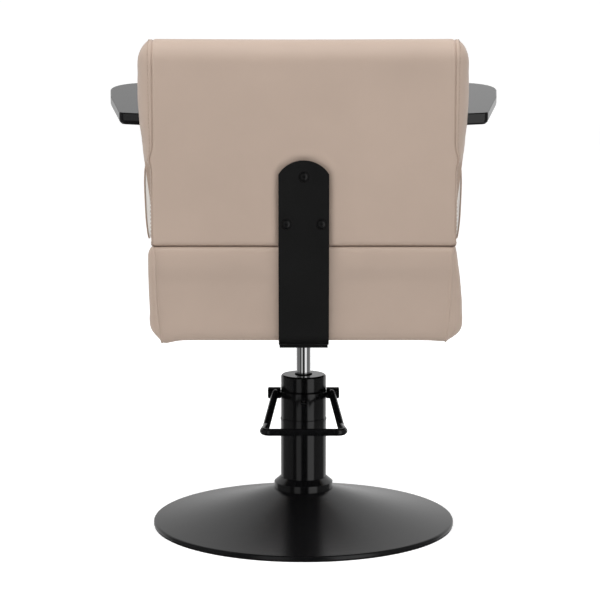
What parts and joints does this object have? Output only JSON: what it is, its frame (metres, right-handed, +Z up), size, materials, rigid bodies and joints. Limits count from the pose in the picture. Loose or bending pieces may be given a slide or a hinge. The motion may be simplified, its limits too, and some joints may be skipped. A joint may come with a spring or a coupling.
{
  "type": "hairdressing chair",
  "caption": "Hydraulic salon chair with round floor base, foot lever, swivelling and lifting upholstered seat and back, and gloss arms over padded side panels.",
  "frame": {"origin": "on the floor, on the axis of the pump column", "axes": "+Z up along the pump column, +Y towards the front of the seat, +X towards the sitter's right hand"},
  "size_m": [0.694, 0.54, 0.8735],
  "materials": {
    "gloss_black_paint": "gloss black powder coat",
    "satin_black_paint": "satin black powder coat",
    "black_screw": "blackened steel",
    "floor_steel": "black painted steel plate",
    "chromed_steel": "polished hard chrome",
    "plain_steel": "zinc plated steel",
    "bearing_bronze": "turned bearing bronze",
    "black_rubber": "matt moulded rubber",
    "plywood": "sanded birch plywood",
    "foam": "open cell foam",
    "beige_leather": "soft smooth beige upholstery leather",
    "black_cloth": "woven black lining cloth",
    "gloss_black_arm": "gloss black moulding"
  },
  "bodies": {
    "base": {"base_gasket": "black_rubber", "base_plate": "floor_steel", "base_cover": "gloss_black_paint", "base_collar": "gloss_black_paint", "base_bolts": "plain_steel", "column_flange": "gloss_black_paint", "pump_column": "gloss_black_paint", "pump_cylinder": "plain_steel", "pump_head": "gloss_black_paint", "guide_bush": "bearing_bronze", "wiper_seal": "black_rubber", "lever_pins": "plain_steel"},
    "plunger": {"pump_plunger": "black_screw", "plunger_spring": "plain_steel"},
    "lever": {"lever_yoke": "gloss_black_paint", "foot_lever": "gloss_black_paint"},
    "lift": {"piston_head": "plain_steel", "thrust_washer": "bearing_bronze"},
    "seat": {"piston_rod": "chromed_steel", "seat_tray": "satin_black_paint", "tray_bolts": "plain_steel", "back_strap": "satin_black_paint", "strap_screws": "black_screw", "seat_board": "plywood", "seat_tee_nuts": "plain_steel", "seat_foam": "foam", "seat_cover": "beige_leather", "dust_cover": "black_cloth", "back_board": "plywood", "back_tee_nuts": "plain_steel", "back_foam": "foam", "back_cover": "beige_leather", "back_rear_panel": "beige_leather", "arm_frame_left": "satin_black_paint", "arm_frame_right": "satin_black_paint", "frame_bolts": "plain_steel", "side_panel_left": "beige_leather", "side_panel_right": "beige_leather", "arm_left": "gloss_black_arm", "arm_right": "gloss_black_arm", "arm_screws": "plain_steel"}
  },
  "joints": [
    {"name": "lift_slide", "type": "slide", "parent": "base", "child": "lift", "axis": [0, 0, 1], "range_m": [-0.045, 0.075]},
    {"name": "seat_swivel", "type": "hinge", "parent": "lift", "child": "seat", "pos_m": [0, 0, 0.2], "axis": [0, 0, 1], "continuous": true},
    {"name": "lever_hinge", "type": "hinge", "parent": "base", "child": "lever", "pos_m": [0, 0, 0.239], "axis": [1, 0, 0], "range_deg": [0, 18], "stiffness_Nm_per_rad": 8, "springref_deg": -17.19},
    {"name": "plunger_slide", "type": "slide", "parent": "base", "child": "plunger", "axis": [0, 0, 1], "range_m": [-0.0106, 0.0005], "deforming": ["plunger_spring"]}
  ],
  "couplings": [
    {"joint": "plunger_slide", "follows": "lever_hinge", "m_per_rad": -0.033}
  ]
}
